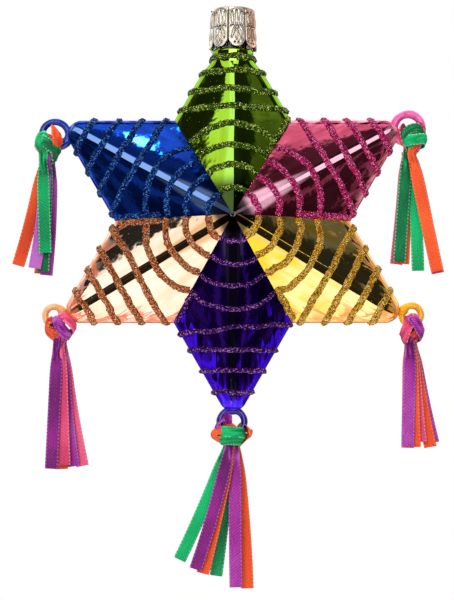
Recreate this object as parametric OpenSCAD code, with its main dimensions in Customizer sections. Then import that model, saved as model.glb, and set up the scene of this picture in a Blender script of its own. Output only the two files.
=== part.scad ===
// Blown-glass hanging ornament in the shape of a six-pointed star pinata.
// Frame: X to the right, Y to the back, Z up. The origin is the underside of the hanging
// wire's crown, the point that a hook bears on. The star stands in the XZ plane.

/* [Star] */
// Distance from the star's centre to where the edges of an arm would meet
star_r = 48.5; // [40:0.5:60]
// Distance from the star's centre to the blunt end of an arm
tip_r = 45.3; // [38:0.1:46]
// Half of the star's thickness at its centre
hub_half = 14; // [10:0.5:20]
// Half of the star's thickness along its edges
rim_half = 2.2; // [1.8:0.1:3]
// Thickness of the blown glass
glass_t = 0.8; // [0.6:0.05:1]
// Thickness of the coloured lacquer
coat_t = 0.15; // [0.1:0.01:0.2]
// Thickness of the silvering inside
silver_t = 0.1; // [0.05:0.01:0.15]

/* [Neck and cap] */
// Height of the star's centre below the hanging wire's crown
star_drop = 50.4; // [50.4:0.1:50.4]
// Outer radius of the glass neck inside the cap
neck_r = 4.6; // [4.4:0.1:4.7]
// Radius of the cap at its top
cap_top_r = 5.3; // [5.3:0.05:5.4]
// Radius of the cap at its scalloped edge
cap_edge_r = 5.8; // [5.8:0.05:6]
// Height of the cap
cap_h = 9.6; // [9:0.1:10]
// Thickness of the stamped sheet
sheet_t = 0.35; // [0.3:0.01:0.35]
// Number of scallops round the cap
scallops = 8; // [6:1:12]

/* [Hanging wire] */
// Diameter of the wire
wire_d = 0.8; // [0.7:0.05:0.9]
// Half of the distance between the wire's legs
wire_half = 1.7; // [1.6:0.05:1.8]
// Length of the straight part of each leg
leg_straight = 8; // [7.8:0.1:9]
// Length of the sprung part of each leg
leg_sprung = 5.5; // [4:0.1:6]

/* [Glitter lines] */
// Lines on each arm
lines = 8; // [4:1:8]
// Distance from the star's centre to the first line
line_first = 6.3; // [6:0.1:7]
// Distance between lines
line_pitch = 4.95; // [4.9:0.05:5]
// Width of a line
line_w = 1.5; // [1.2:0.1:1.6]
// Height of a line above the lacquer
line_h = 0.7; // [0.4:0.1:0.8]

/* [Ribbons] */
// Width of the satin ribbon
ribbon_w = 3; // [2.5:0.1:3.2]
// Thickness that a hanging ribbon takes up
ribbon_t = 0.4; // [0.3:0.05:0.4]

/* [Hidden] */
// Arms in the order green, pink, gold, purple, rose, blue, as angles from +X
ARM = [90, 30, -30, -90, -150, 150];
GREEN = 0;
PINK = 1;
GOLD = 2;
PURPLE = 3;
ROSE = 4;
BLUE = 5;
LACQUER = ["forestgreen", "deeppink", "gold", "indigo", "peachpuff", "royalblue"];
GLITTER = ["darkgreen", "mediumvioletred", "goldenrod", "purple", "sienna", "navy"];
RING = ["forestgreen", "hotpink", "gold", "mediumslateblue", "burlywood", "blue"];

// Each ring: its centre from the star's centre in X and Z, outer diameter, rod diameter
RINGS = [
    [0, 0, 0, 0],
    [42.1, 22.5, 8.8, 2],
    [42.6, -22.5, 6.2, 1.7],
    [-0.2, -47.9, 7.4, 1.7],
    [-42.6, -22.7, 6, 1.6],
    [-42.7, 21, 8, 1.7],
];

// The point under each knot that its ribbon ends swing about, from the star's centre
PIVOTS = [[0, 0], [42.7, 15.5], [42.3, -29.7], [-0.4, -54.2], [-41.4, -30.2], [-44.8, 13.7]];

// The two ends of a ribbon: sideways place at the knot, half way and at the end, the drop,
// and its layer from 0 at the front to 5 at the back
BLUE_GREEN = [[-0.7, -0.4, 0.1, 21.5, 0], [0.4, -0.2, -0.6, 25.8, 2]];
BLUE_PURPLE = [[0, -0.8, -2.5, 25.1, 1], [1, 0.9, 0.1, 26.6, 4]];
BLUE_ORANGE = [[-0.8, -3.4, -6.6, 24.3, 3], [0.2, -0.3, -1.4, 26.2, 5]];
PINK_GREEN = [[-0.9, -1.9, -2.9, 25.3, 2], [0.3, 1.2, 1.6, 27.4, 3]];
PINK_ORANGE = [[0.4, 3.2, 6, 27.7, 0], [-0.7, -1.2, -1.9, 25.7, 4]];
PINK_PINK = [[0.6, 3.4, 6.2, 28.1, 1], [-1, -2.1, -3.5, 25.7, 5]];
ROSE_PURPLE = [[-0.4, -0.9, -1.6, 28.8, 0], [0.6, 1.8, 3.5, 28.3, 3]];
ROSE_ORANGE = [[0.1, 0.3, 0.8, 28.9, 2], [-0.2, -0.4, -0.7, 28.1, 5]];
ROSE_PINK = [[0.3, 0.9, 1.4, 28, 1], [0.8, 2.9, 5.6, 28.2, 4]];
GOLD_PURPLE = [[-0.2, -0.5, -1, 24, 0], [0.7, 2.8, 5.3, 23.2, 4]];
GOLD_ORANGE = [[0.1, 0.4, 0.7, 24.2, 1], [0.5, 2.4, 4.6, 24.2, 3]];
GOLD_PINK = [[0.3, 1.2, 2.2, 23, 2], [-0.2, -0.4, -0.7, 24.4, 5]];
PURPLE_GREEN = [[-1, -6.2, -12.2, 26.2, 3], [-0.2, -1.7, -3.6, 30, 4]];
PURPLE_PURPLE = [[-0.5, -4, -8.4, 28.3, 0], [0.9, 0.9, 1.1, 32.6, 2]];
PURPLE_ORANGE = [[-0.3, -3.2, -6.7, 29.3, 1], [1.2, 2.9, 3.8, 33, 5]];

HALF_ANGLE = 30; // between an arm's axis and each of its edges and valleys
FAR = 80; // reaches past the whole star
NECK_TOP_CUT = 40; // where the top arm ends and the neck begins
SHOULDER_R = 4.85; // the neck just above the top arm
SHOULDER_TOP = 41.2;
NECK_GAP = 0.2; // between the neck's rim and the cap's top plate
DISH = 1; // depth of the cap's dished top
LEG_GAP = 0.35; // between a leg's tip and the neck's bore
notch_r = star_r / 2 / cos(HALF_ANGLE);
notch_along = star_r / 2;
facet_slope = (hub_half - rim_half) / (star_r / 2);
facet_len = sqrt(1 + facet_slope * facet_slope);
cap_top_z = wire_d;
cap_plate_z = cap_top_z - DISH;
neck_top = star_drop + cap_plate_z - sheet_t - NECK_GAP;
bore_r = neck_r - glass_t;
$fn = 64;

// ---- The star's own surface ----

// Corners of the outline moved out by o, arm by arm: notch, then the two corners of the tip
function on_arm(a, along, across) =
    [along * cos(a) - across * sin(a), along * sin(a) + across * cos(a)];
function arm_tip(a, o) = (a == ARM[GREEN] ? NECK_TOP_CUT : tip_r) + o;
function tip_half(a, o) = (star_r + 2 * o - arm_tip(a, o)) * tan(HALF_ANGLE);
function face_depth(o, d) = rim_half + facet_slope * d + o * facet_len;
function arm_points(a, o, side) =
    let (
        tip = arm_tip(a, o),
        rim = side * face_depth(o, -o),
        ridge = side * face_depth(o, (star_r - tip) / 2),
        notch = on_arm(a - HALF_ANGLE, notch_r + o / cos(HALF_ANGLE), 0),
        low = on_arm(a, tip, -tip_half(a, o)),
        mid = on_arm(a, tip, 0),
        high = on_arm(a, tip, tip_half(a, o))
    )
    [[notch.x, rim, notch.y], [low.x, rim, low.y], [mid.x, ridge, mid.y], [high.x, rim, high.y]];

// Corners of one side: the hub, then four for each arm, anticlockwise from the front
function side_points(o, side) = concat(
    [[0, side * face_depth(o, star_r / 2), 0]],
    [for (k = [0 : 5]) for (p = arm_points(ARM[GREEN] + 60 * k, o, side)) p]
);
SIDE_COUNT = 25;
function side_faces(base, flip) = [
    for (k = [0 : 5])
        let (c = base + 1 + 4 * k, next = base + 1 + (4 * k + 4) % 24)
        for (f = [
            [base, c, c + 1, c + 2],
            [base, c + 2, c + 3, next],
        ])
            flip ? [f[3], f[2], f[1], f[0]] : f,
];
function wall_faces(n) = [
    for (k = [0 : 5])
        let (c = 1 + 4 * k, next = 1 + (4 * k + 4) % 24)
        for (f = [
            [c, c + n, c + 1 + n, c + 1],
            [c + 1, c + 1 + n, c + 2 + n, c + 3 + n, c + 3, c + 2],
            [c + 3, c + 3 + n, next + n, next],
        ])
            f,
];

// The star moved out by o, or in where o is below 0
module star_solid(o) {
    polyhedron(
        points = concat(side_points(o, -1), side_points(o, 1)),
        faces = concat(
            side_faces(0, true), side_faces(SIDE_COUNT, false), wall_faces(SIDE_COUNT)
        )
    );
}

module at_star() translate([0, 0, -star_drop]) children();

module neck_rod(r, from, to) translate([0, 0, from]) cylinder(r = r, h = to - from);

// Hollow body: the star and its neck, open at the neck's mouth
module glass_star() {
    mouth = 1;
    color("white", 0.5) at_star() difference() {
        union() {
            star_solid(0);
            neck_rod(SHOULDER_R, NECK_TOP_CUT - 2, SHOULDER_TOP);
            neck_rod(neck_r, SHOULDER_TOP - 1, neck_top);
        }
        star_solid(-glass_t);
        neck_rod(bore_r, NECK_TOP_CUT - 3, neck_top + mouth);
    }
}

// Mirror coat on the inside of the star
module silver_lining() {
    color("silver") at_star() difference() {
        star_solid(-glass_t);
        star_solid(-glass_t - silver_t);
        neck_rod(bore_r + silver_t, NECK_TOP_CUT - 4, neck_top);
    }
}

// Coloured lacquer over one arm; the top arm's runs up the neck's shoulder
module lacquer(arm) {
    a = ARM[arm];
    sector = [
        [0, 0],
        on_arm(a - HALF_ANGLE, FAR, 0),
        on_arm(a + HALF_ANGLE, FAR, 0),
    ];
    color(LACQUER[arm]) at_star() difference() {
        union() {
            intersection() {
                star_solid(coat_t);
                rotate([90, 0, 0]) linear_extrude(FAR, center = true) polygon(sector);
            }
            if (arm == GREEN) neck_rod(SHOULDER_R + coat_t, NECK_TOP_CUT - 1, SHOULDER_TOP);
        }
        star_solid(0);
        if (arm == GREEN) neck_rod(SHOULDER_R, NECK_TOP_CUT - 2, SHOULDER_TOP + 1);
    }
}

// ---- Glitter lines ----

LINE_STEPS = 6; // stretches across each side of an arm
LINE_BOW = [1, 2, 3, 4, 0, 0, 0, 0]; // how far the ends of each line sag towards the hub
NECK_LINE_AT = 39.2; // the top arm's last line, just below the cap
NECK_LINE_WIDER = 1.09; // reaches further over the arm's two edges
LINE_END_GAP = 0.5; // between the end of a line and the valley it runs to
function line_at(k) = line_first + line_pitch * k;
function line_end(k) = line_at(k) - LINE_BOW[k];
function goes_round(k) = line_end(k) > notch_along;
function side_reach(k, along) = goes_round(k)
    ? (star_r - along) * tan(HALF_ANGLE) + coat_t / cos(HALF_ANGLE)
    : along * tan(HALF_ANGLE) - LINE_END_GAP;
function coat_depth(along, across) =
    face_depth(coat_t, (star_r - along) / 2 - abs(across) * cos(HALF_ANGLE));

// Direction that a line stands up in, at share t from one edge (-1) to the other (1)
function line_up(k, t) =
    let (
        s = sign(t),
        facet = [facet_slope / 2, s * facet_slope * cos(HALF_ANGLE), 1] / facet_len,
        wall = [sin(HALF_ANGLE), s * cos(HALF_ANGLE), 0]
    )
    abs(t) == 1 && goes_round(k) ? facet + wall : facet;

// Cross-section at share t: foot, two crown corners, foot. side is -1 in front, 1 behind
function line_section(k, t, side) =
    let (
        along = line_at(k) - LINE_BOW[k] * t * t,
        feet = [
            for (e = [line_w / 2, -line_w / 2])
                let (across = t * side_reach(k, line_end(k) + e))
                [along + e, across, coat_depth(along + e, across)]
        ],
        lift = line_up(k, t) * line_h,
        inset = (feet[1] - feet[0]) / 4
    )
    [
        for (p = [feet[0], feet[0] + inset + lift, feet[1] - inset + lift, feet[1]])
            [p.x, side * p.z, p.y]
    ];

function swept_faces(sections, closed) = concat(
    [
        for (i = [0 : sections - (closed ? 1 : 2)]) for (j = [0 : 3])
            let (
                a = 4 * i + j,
                b = 4 * i + (j + 1) % 4,
                c = 4 * ((i + 1) % sections) + (j + 1) % 4,
                d = 4 * ((i + 1) % sections) + j
            )
            for (f = [[a, b, c], [a, c, d]]) f
    ],
    closed ? [] : [[3, 2, 1, 0], [for (j = [0 : 3]) 4 * (sections - 1) + j]]
);

module swept(sections, closed) {
    polyhedron(
        points = [for (s = sections) for (p = s) p],
        faces = swept_faces(len(sections), closed)
    );
}

module glitter_line(k) {
    shares = [for (i = [0 : LINE_STEPS]) 2 * i / LINE_STEPS - 1];
    front = [for (t = shares) line_section(k, t, -1)];
    back = [for (t = shares) line_section(k, -t, 1)];
    if (goes_round(k)) {
        swept(concat(front, back), true);
    } else {
        swept(front, false);
        swept(back, false);
    }
}

module neck_line() {
    difference() {
        translate([0, 0, NECK_LINE_AT]) scale([NECK_LINE_WIDER, 1, 1]) rotate_extrude()
            translate([SHOULDER_R + 0.25, 0]) circle(r = 0.65);
        star_solid(coat_t);
        neck_rod(SHOULDER_R + coat_t, NECK_TOP_CUT - 3, SHOULDER_TOP);
    }
}

module glitter(arm) {
    straight = arm == GREEN ? lines - 1 : lines;
    color(GLITTER[arm]) at_star() {
        rotate([0, -ARM[arm], 0]) for (k = [0 : straight - 1]) glitter_line(k);
        if (arm == GREEN) neck_line();
    }
}

// ---- Cap and hanging wire ----

module cap() {
    slant = (cap_edge_r - cap_top_r) / cap_h;
    edge_z = cap_top_z - cap_h;
    slot_r = wire_d / 2 + 0.12;
    slot_reach = 0.6; // towards the middle, where the crown starts to bend
    notch_size = 1.1;
    first_scallop = 33;
    color("silver") difference() {
        rotate_extrude() polygon([
            [0, cap_plate_z],
            [cap_top_r - sheet_t, cap_plate_z],
            [cap_top_r - sheet_t, cap_top_z],
            [cap_top_r, cap_top_z],
            [cap_edge_r, edge_z],
            [cap_edge_r - sheet_t, edge_z],
            [cap_top_r - sheet_t + slant * (DISH + sheet_t), cap_plate_z - sheet_t],
            [0, cap_plate_z - sheet_t],
        ]);
        for (s = [0, 1]) mirror([s, 0, 0]) translate([0, 0, cap_plate_z - 1]) {
            for (x = [wire_half - slot_reach, wire_half]) translate([x, 0, 0])
                cylinder(r = slot_r, h = 2);
            translate([wire_half - slot_reach, -slot_r, 0]) cube([slot_reach, 2 * slot_r, 2]);
        }
        for (i = [0 : scallops - 1]) rotate([0, 0, first_scallop + i * 360 / scallops])
            translate([0, 0, edge_z]) rotate([0, 90, 0]) cylinder(r = notch_size, h = 10);
    }
}

// U of spring wire: the crown outside, the legs down through the cap and into the neck
module hanging_wire() {
    r = wire_d / 2;
    crown_z = r - wire_half;
    bend_z = crown_z - leg_straight;
    bend_r = 2;
    spread = bore_r - LEG_GAP - r - wire_half;
    lean = atan2(spread, leg_sprung);
    color("gray") {
        translate([0, 0, crown_z]) rotate([90, 0, 0])
            rotate_extrude(angle = 180) translate([wire_half, 0]) circle(r = r);
        for (s = [0, 1]) mirror([s, 0, 0]) {
            translate([wire_half, 0, bend_z]) cylinder(r = r, h = leg_straight);
            translate([wire_half + bend_r, 0, bend_z]) rotate([90, 0, 0]) rotate([0, 0, 180])
                rotate_extrude(angle = lean) translate([bend_r, 0]) circle(r = r);
            translate([
                wire_half + bend_r * (1 - cos(lean)), 0, bend_z - bend_r * sin(lean)
            ]) rotate([0, 180 - lean, 0])
                cylinder(r = r, h = (spread - bend_r * (1 - cos(lean))) / sin(lean));
        }
    }
}

// ---- Rings ----

function ring_rod_r(arm) = RINGS[arm][3] / 2;
function ring_line_r(arm) = RINGS[arm][2] / 2 - ring_rod_r(arm);
function ring_rod_low(arm) = RINGS[arm].y - ring_line_r(arm);

// Glass ring melted on to the end of an arm
module ring(arm) {
    color(RING[arm]) at_star() difference() {
        translate([RINGS[arm].x, 0, RINGS[arm].y]) rotate([90, 0, 0])
            rotate_extrude() translate([ring_line_r(arm), 0]) circle(r = ring_rod_r(arm));
        star_solid(coat_t);
    }
}

// ---- Ribbons ----

LOOP_PITCH = 0.7; // between the loops of neighbouring ribbons, along the ring's rod
LOOP_W = 0.6;
LOOP_GAP = 0.35; // between a loop and the rod it goes round
LOOP_WALL = 0.45;
LOOP_FOOT = 0.05; // below the lowest loop, where the ribbons start to slant to the knot's foot
KNOT_PITCH = 1.6; // between the ribbons at the foot of a knot
KNOT_W = 1.5;
KNOT_DEPTH = 3.2;
KNOT_LIFT = 1.5; // from the swing axis to the foot of the knot
LAYER_PITCH = 0.45;
FOLD_R = 1.4; // of the rounded top of the hanging ends
FOLD_W = 4.4;

// One ribbon's loop round the ring and its share of the knot. slot is -1, 0 or 1
module knot(arm, slot, tint) {
    rise = ring_line_r(arm) - sqrt(pow(ring_line_r(arm), 2) - pow(slot * LOOP_PITCH, 2));
    loop_x = RINGS[arm].x + slot * LOOP_PITCH;
    loop_z = ring_rod_low(arm) + rise;
    inner_r = ring_rod_r(arm) + LOOP_GAP;
    foot_x = PIVOTS[arm].x + slot * KNOT_PITCH;
    foot_z = PIVOTS[arm].y + KNOT_LIFT;
    neck_z = loop_z - inner_r - LOOP_WALL / 2;
    gather_z = ring_rod_low(arm) - inner_r - LOOP_WALL - LOOP_FOOT;
    color(tint) at_star() union() {
        translate([loop_x, 0, loop_z]) rotate([0, 90, 0]) difference() {
            cylinder(r = inner_r + LOOP_WALL, h = LOOP_W, center = true);
            cylinder(r = inner_r, h = LOOP_W + 1, center = true);
        }
        rotate([90, 0, 0]) linear_extrude(KNOT_DEPTH, center = true) polygon([
            [loop_x - LOOP_W / 2, neck_z],
            [loop_x - LOOP_W / 2, gather_z],
            [foot_x - KNOT_W / 2, foot_z],
            [foot_x + KNOT_W / 2, foot_z],
            [loop_x + LOOP_W / 2, gather_z],
            [loop_x + LOOP_W / 2, neck_z],
        ]);
    }
}

// Sideways place of a hanging end at share t of its drop: a curve through its three places
function end_x(e, t) = e[0] + (4 * e[1] - 3 * e[0] - e[2]) * t + 2 * (e[0] + e[2] - 2 * e[1]) * t * t;
END_STEPS = 6;
function end_edge(e, side) = [
    for (i = [0 : END_STEPS])
        let (
            t = i / END_STEPS,
            step = 0.01,
            run = [end_x(e, t + step) - end_x(e, t - step), -2 * step * e[3]],
            out = [-run.y, run.x] / norm(run) * side * ribbon_w / 2
        )
        [end_x(e, t) + out.x, -e[3] * t + out.y]
];

// The two hanging ends of one ribbon
module ends(arm, pair, tint) {
    color(tint) at_star() translate([PIVOTS[arm].x, 0, PIVOTS[arm].y])
        for (e = pair) translate([0, (e[4] - 2.5) * LAYER_PITCH, 0]) {
            rotate([90, 0, 0]) linear_extrude(ribbon_t, center = true)
                polygon(concat(end_edge(e, -1), [for (i = [END_STEPS : -1 : 0]) end_edge(e, 1)[i]]));
            intersection() {
                cube([FOLD_W, ribbon_t, 2 * FOLD_R + 1], center = true);
                translate([0, -(e[4] - 2.5) * LAYER_PITCH, 0]) rotate([0, 90, 0])
                    cylinder(r = FOLD_R, h = FOLD_W + 1, center = true);
            }
        }
}

GREEN_SATIN = "green";
PURPLE_SATIN = "darkorchid";
ORANGE_SATIN = "orangered";
PINK_SATIN = "palevioletred";

glass_star();
silver_lining();
cap();
hanging_wire();

lacquer(GREEN);  // lacquer_green
lacquer(PINK);  // lacquer_pink
lacquer(GOLD);  // lacquer_gold
lacquer(PURPLE);  // lacquer_purple
lacquer(ROSE);  // lacquer_rose
lacquer(BLUE);  // lacquer_blue

glitter(GREEN);  // glitter_green
glitter(PINK);  // glitter_pink
glitter(GOLD);  // glitter_gold
glitter(PURPLE);  // glitter_purple
glitter(ROSE);  // glitter_rose
glitter(BLUE);  // glitter_blue

ring(PINK);  // ring_pink
ring(GOLD);  // ring_gold
ring(PURPLE);  // ring_purple
ring(ROSE);  // ring_rose
ring(BLUE);  // ring_blue

knot(BLUE, -1, GREEN_SATIN);  // blue_green_knot
knot(BLUE, 0, PURPLE_SATIN);  // blue_purple_knot
knot(BLUE, 1, ORANGE_SATIN);  // blue_orange_knot
ends(BLUE, BLUE_GREEN, GREEN_SATIN);  // blue_green_ends
ends(BLUE, BLUE_PURPLE, PURPLE_SATIN);  // blue_purple_ends
ends(BLUE, BLUE_ORANGE, ORANGE_SATIN);  // blue_orange_ends

knot(PINK, 0, GREEN_SATIN);  // pink_green_knot
knot(PINK, 1, ORANGE_SATIN);  // pink_orange_knot
knot(PINK, -1, PINK_SATIN);  // pink_pink_knot
ends(PINK, PINK_GREEN, GREEN_SATIN);  // pink_green_ends
ends(PINK, PINK_ORANGE, ORANGE_SATIN);  // pink_orange_ends
ends(PINK, PINK_PINK, PINK_SATIN);  // pink_pink_ends

knot(ROSE, 0, PURPLE_SATIN);  // rose_purple_knot
knot(ROSE, -1, ORANGE_SATIN);  // rose_orange_knot
knot(ROSE, 1, PINK_SATIN);  // rose_pink_knot
ends(ROSE, ROSE_PURPLE, PURPLE_SATIN);  // rose_purple_ends
ends(ROSE, ROSE_ORANGE, ORANGE_SATIN);  // rose_orange_ends
ends(ROSE, ROSE_PINK, PINK_SATIN);  // rose_pink_ends

knot(GOLD, 1, PURPLE_SATIN);  // gold_purple_knot
knot(GOLD, 0, ORANGE_SATIN);  // gold_orange_knot
knot(GOLD, -1, PINK_SATIN);  // gold_pink_knot
ends(GOLD, GOLD_PURPLE, PURPLE_SATIN);  // gold_purple_ends
ends(GOLD, GOLD_ORANGE, ORANGE_SATIN);  // gold_orange_ends
ends(GOLD, GOLD_PINK, PINK_SATIN);  // gold_pink_ends

knot(PURPLE, 0, GREEN_SATIN);  // purple_green_knot
knot(PURPLE, -1, PURPLE_SATIN);  // purple_purple_knot
knot(PURPLE, 1, ORANGE_SATIN);  // purple_orange_knot
ends(PURPLE, PURPLE_GREEN, GREEN_SATIN);  // purple_green_ends
ends(PURPLE, PURPLE_PURPLE, PURPLE_SATIN);  // purple_purple_ends
ends(PURPLE, PURPLE_ORANGE, ORANGE_SATIN);  // purple_orange_ends
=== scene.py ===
"""Looks of a mirrored blown-glass star ornament with ribbon tassels, built round its CAD frame.

Shapes are worked out in millimetres from the star's centre and turned into metres at the end.
On an arm, p runs along its axis from the star's centre and q runs across it.
"""

import math
import random
from functools import partial, reduce

import bmesh
import bpy
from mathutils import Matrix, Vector, noise


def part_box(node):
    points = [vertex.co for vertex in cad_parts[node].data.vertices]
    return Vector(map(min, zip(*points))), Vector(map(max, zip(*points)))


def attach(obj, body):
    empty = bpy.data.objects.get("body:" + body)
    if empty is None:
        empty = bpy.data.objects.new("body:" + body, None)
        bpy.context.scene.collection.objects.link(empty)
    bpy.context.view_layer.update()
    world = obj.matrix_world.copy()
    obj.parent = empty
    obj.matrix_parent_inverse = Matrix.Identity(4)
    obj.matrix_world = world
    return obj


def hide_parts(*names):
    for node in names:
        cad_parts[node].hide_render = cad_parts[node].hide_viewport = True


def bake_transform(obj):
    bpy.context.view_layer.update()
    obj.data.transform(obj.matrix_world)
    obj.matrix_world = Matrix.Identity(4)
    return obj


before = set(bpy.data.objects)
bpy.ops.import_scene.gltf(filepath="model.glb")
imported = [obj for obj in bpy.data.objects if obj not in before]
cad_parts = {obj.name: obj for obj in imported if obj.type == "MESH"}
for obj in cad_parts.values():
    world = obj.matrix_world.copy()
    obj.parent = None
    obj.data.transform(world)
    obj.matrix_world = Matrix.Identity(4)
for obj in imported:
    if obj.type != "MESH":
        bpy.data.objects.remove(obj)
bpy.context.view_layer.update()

MM = 0.001
CENTRE_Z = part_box("lacquer_pink")[0].z / MM  # the star's centre below the frame's origin
FRONT = -1
BACK = 1
SIDES = (FRONT, BACK)
UP = Vector((0, 0, 1))


def to_frame(point):
    """A place in millimetres from the star's centre, in metres in the frame."""
    return Vector((point[0], point[1], point[2] + CENTRE_Z)) * MM


def lerp(a, b, share):
    return a + (b - a) * share


def ease(low, high, value):
    """Smooth step from 0 at low to 1 at high."""
    share = min(1.0, max(0.0, (value - low) / (high - low)))
    return share * share * (3 - 2 * share)


def bump(value, width):
    """Smooth hill of height 1 about 0."""
    return math.exp(-((value / width) ** 2))


def turns(count):
    """Angles all the way round, in equal steps."""
    return [2 * math.pi * i / count for i in range(count)]


# ---- Camera ----

CAMERA_FAR = 400  # from the star's centre
CAMERA_BELOW = math.radians(7)
AIM = (-1.4, 0, -18.9)
LENS = 100


def make_camera():
    data = bpy.data.cameras.new("camera")
    data.lens = LENS
    data.clip_start = 0.01
    camera = bpy.data.objects.new("camera", data)
    bpy.context.scene.collection.objects.link(camera)
    place = (0, -CAMERA_FAR * math.cos(CAMERA_BELOW), -CAMERA_FAR * math.sin(CAMERA_BELOW))
    camera.location = to_frame(place)
    camera.rotation_euler = (to_frame(AIM) - camera.location).to_track_quat("-Z", "Y").to_euler()
    bpy.context.scene.camera = camera


# ---- Shader helpers ----


class Shader:
    """A material's nodes. Inputs are named with _ for a space."""

    def __init__(self, name, **values):
        self.material = bpy.data.materials.new(name)
        self.material.use_nodes = True
        self.tree = self.material.node_tree
        self.principled = self.tree.nodes["Principled BSDF"]
        self.set(**values)

    def set(self, **values):
        """Gives the Principled shader's inputs a value or another node's output."""
        for name, value in values.items():
            self.feed(value, self.principled.inputs[name.replace("_", " ")])

    def feed(self, value, socket):
        if isinstance(value, bpy.types.NodeSocket):
            self.tree.links.new(value, socket)
        else:
            socket.default_value = value

    def node(self, kind, settings=None, **inputs):
        """Adds a node. An input may also be its number after n."""
        node = self.tree.nodes.new("ShaderNode" + kind)
        for key, value in (settings or {}).items():
            setattr(node, key, value)
        for key, value in inputs.items():
            socket = node.inputs[int(key[1:]) if key[1:].isdigit() else key.replace("_", " ")]
            self.feed(value, socket)
        return node

    def math(self, operation, a, b=0.0):
        return self.node("Math", {"operation": operation}, n0=a, n1=b).outputs[0]

    def plus(self, *values):
        return reduce(partial(self.math, "ADD"), values)

    def times(self, *values):
        return reduce(partial(self.math, "MULTIPLY"), values)

    def largest(self, *values):
        return reduce(partial(self.math, "MAXIMUM"), values)

    def magnitude(self, value):
        return self.math("ABSOLUTE", value)

    def place(self):
        """Object coordinates, in metres."""
        return self.node("TexCoord").outputs["Object"]

    def axes(self, vector):
        return self.node("SeparateXYZ", n0=vector).outputs

    def red(self, colour):
        return self.node("SeparateColor", n0=colour).outputs[0]

    def ramp(self, factor, *stops):
        """Colour ramp: each stop is its place and its colour or grey level."""
        node = self.node("ValToRGB", n0=factor)
        elements = node.color_ramp.elements
        while len(elements) < len(stops):
            elements.new(0.5)
        for element, (place, colour) in zip(elements, stops):
            element.position = place
            element.color = (colour,) * 3 + (1,) if isinstance(colour, float) else (*colour, 1)
        return node.outputs["Color"]

    def mix(self, factor, a, b, blend="MIX"):
        node = self.node("Mix", {"data_type": "RGBA", "blend_type": blend})
        for value, socket in ((factor, 0), (a, 6), (b, 7)):
            if isinstance(value, tuple):
                value = (*value, 1)
            self.feed(value, node.inputs[socket])
        return node.outputs[2]

    def noise(self, vector, scale, detail=2.0, roughness=0.5):
        """Noise, whose scale is one number, or three where it is stretched."""
        if isinstance(scale, tuple):
            vector = self.node("Mapping", Vector=vector, Scale=scale).outputs[0]
            scale = 1
        node = self.node("TexNoise", Vector=vector, Scale=scale, Detail=detail, Roughness=roughness)
        return node.outputs[0]

    def smooth(self, value, low, high, at_low=0.0, at_high=1.0):
        """Smooth step of a value from low to high. Low may be the larger."""
        node = self.node("MapRange", {"interpolation_type": "SMOOTHSTEP"}, Value=value)
        if low > high:
            low, high, at_low, at_high = high, low, at_high, at_low
        for socket, number in zip(node.inputs[1:5], (low, high, at_low, at_high)):
            socket.default_value = number
        return node.outputs[0]

    def relief(self, height, strength, distance):
        bumps = self.node("Bump", Height=height, Strength=strength, Distance=distance)
        self.set(Normal=bumps.outputs[0])


# ---- Mesh helpers ----

WELD_REACH = 0.002


def make_piece(name, points, faces, material, smooth=True):
    """A mesh object from points in millimetres from the star's centre."""
    mesh = bpy.data.meshes.new(name)
    mesh.from_pydata([to_frame(point) for point in points], [], faces)
    mesh.materials.append(material)
    mesh.polygons.foreach_set("use_smooth", [smooth] * len(mesh.polygons))
    piece = bpy.data.objects.new(name, mesh)
    bpy.context.scene.collection.objects.link(piece)
    return piece


def stand_for(piece, body, node):
    """The piece rides on a body and takes a CAD node's place."""
    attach(piece, body)
    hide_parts(node)


def weld(piece):
    """Joins corners that lie at the same place."""
    mesh = bmesh.new()
    mesh.from_mesh(piece.data)
    bmesh.ops.remove_doubles(mesh, verts=mesh.verts, dist=WELD_REACH * MM)
    bmesh.ops.dissolve_degenerate(mesh, edges=mesh.edges, dist=WELD_REACH * MM / 4)
    mesh.to_mesh(piece.data)
    mesh.free()


def apply_modifiers(piece):
    graph = bpy.context.evaluated_depsgraph_get()
    mesh = bpy.data.meshes.new_from_object(piece.evaluated_get(graph))
    piece.modifiers.clear()
    piece.data = mesh


def make_shell(piece, thickness):
    """Gives an open surface its thickness, inwards."""
    shell = piece.modifiers.new("shell", "SOLIDIFY")
    shell.thickness = thickness * MM
    shell.offset = -1
    apply_modifiers(piece)


def join(surfaces):
    """One list of points and one of faces, from several surfaces."""
    points = []
    faces = []
    for more, more_faces in surfaces:
        faces += [[corner + len(points) for corner in face] for face in more_faces]
        points += more
    return points, faces


def grid_faces(rows, columns, wrap_rows=False, wrap_columns=False, flip=False):
    """Faces between neighbouring points of a grid, which are listed row by row."""
    faces = []
    for i in range(rows if wrap_rows else rows - 1):
        for j in range(columns if wrap_columns else columns - 1):
            after = (i + 1) % rows * columns
            beside = (j + 1) % columns
            a, b, c, d = i * columns + j, after + j, after + beside, i * columns + beside
            faces.append([a, d, c, b] if flip else [a, b, c, d])
    return faces


def tube_faces(rows, ring, flip=True):
    """Faces of a tube that is closed at both ends, from its rings of points."""
    ends = [list(range(ring)), list(range((rows - 1) * ring, rows * ring))[::-1]]
    if flip:
        ends = [end[::-1] for end in ends]
    return grid_faces(rows, ring, wrap_columns=True, flip=flip) + ends


# ---- The star's surface ----

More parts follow.
